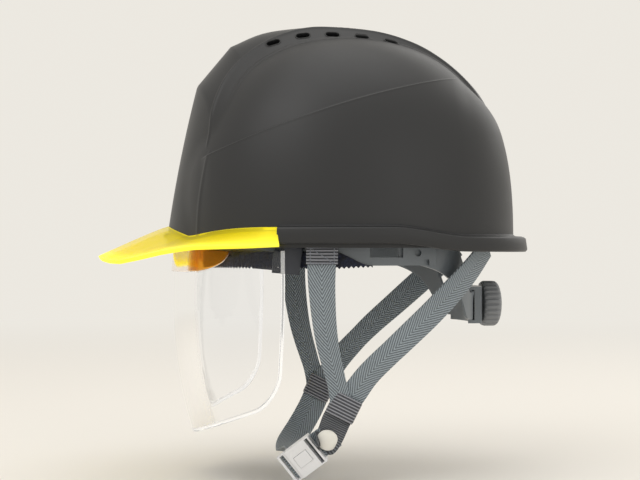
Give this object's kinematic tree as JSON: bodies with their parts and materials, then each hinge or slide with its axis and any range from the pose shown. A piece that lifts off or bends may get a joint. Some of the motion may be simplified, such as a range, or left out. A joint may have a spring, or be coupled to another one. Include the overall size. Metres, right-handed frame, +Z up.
{
  "type": "hard hat",
  "caption": "Industrial hard hat with a ridged shell, fixed translucent peak, shield that slides up inside the shell, ratchet headband and chin strap.",
  "frame": {"origin": "centre of the oval that the shell wall makes at its lower edge, on the plane of symmetry", "axes": "-Y to the front of the hat, +X to the wearer's left, +Z up"},
  "size_m": [0.217, 0.304, 0.3183],
  "materials": {
    "shell_black": "fine satin moulding, nearly matte",
    "peak_yellow": "translucent fluorescent, edges glow",
    "shield_clear": "clear polycarbonate",
    "grip_amber": "translucent amber",
    "band_grey": "satin",
    "knob_grey": "satin",
    "grey_plastic": "satin",
    "black_plastic": "satin",
    "white_plastic": "moulded",
    "liner_foam": "expanded bead foam",
    "sweat_fabric": "knitted mesh over foam",
    "webbing": "herringbone polyester webbing",
    "steel": "plain"
  },
  "bodies": {
    "hat": {"shell": "shell_black", "visor": "peak_yellow", "visor_rivets": "black_plastic", "shock_liner": "liner_foam", "shield_rail_left": "grey_plastic", "shield_rail_right": "grey_plastic", "rail_screws": "steel", "headband": "band_grey", "sweatband": "sweat_fabric", "ratchet_housing": "band_grey", "ratchet_cover": "band_grey", "crown_strap_long": "webbing", "crown_strap_cross": "webbing", "crown_pad": "sweat_fabric", "suspension_keys": "grey_plastic", "web_anchors": "black_plastic", "web_front_left": "webbing", "web_front_right": "webbing", "web_rear_left": "webbing", "web_rear_right": "webbing", "keeper_left": "webbing", "keeper_right": "webbing", "chin_tab": "webbing", "chin_strap": "webbing", "snap_cap": "white_plastic", "snap_socket": "white_plastic", "buckle_frame": "white_plastic", "buckle_tongue": "white_plastic"},
    "shield": {"shield_lens": "shield_clear", "shield_grip": "grip_amber", "shield_slider_left": "grey_plastic", "shield_slider_right": "grey_plastic", "slider_pins": "steel"},
    "knob": {"ratchet_knob": "knob_grey", "ratchet_pinion": "black_plastic", "knob_screw": "steel"},
    "nape_left": {"nape_strap_left": "band_grey"},
    "nape_right": {"nape_strap_right": "band_grey"},
    "release_tab": {"buckle_release": "white_plastic"}
  },
  "joints": [
    {"name": "shield_slide", "type": "hinge", "parent": "hat", "child": "shield", "pos_m": [0, 0.192, -0.036], "axis": [-1, 0, 0], "range_deg": [0, 21]},
    {"name": "knob_turn", "type": "hinge", "parent": "hat", "child": "knob", "pos_m": [0, 0.105, -0.039], "axis": [0, 1, 0], "range_deg": [-90, 90]},
    {"name": "nape_left_slide", "type": "hinge", "parent": "hat", "child": "nape_left", "pos_m": [0, 0.0212, -0.039], "axis": [0, 0, 1], "range_deg": [-7.3, 7.3]},
    {"name": "nape_right_slide", "type": "hinge", "parent": "hat", "child": "nape_right", "pos_m": [0, 0.0212, -0.039], "axis": [0, 0, 1], "range_deg": [-7.3, 7.3]},
    {"name": "release_press", "type": "hinge", "parent": "hat", "child": "release_tab", "pos_m": [0.06153, -0.03056, -0.13916], "axis": [0, 0.6223, -0.7828], "range_deg": [0, 5]}
  ],
  "couplings": [
    {"joint": "nape_left_slide", "follows": "knob_turn", "ratio": -0.0789},
    {"joint": "nape_right_slide", "follows": "knob_turn", "ratio": 0.0789}
  ]
}
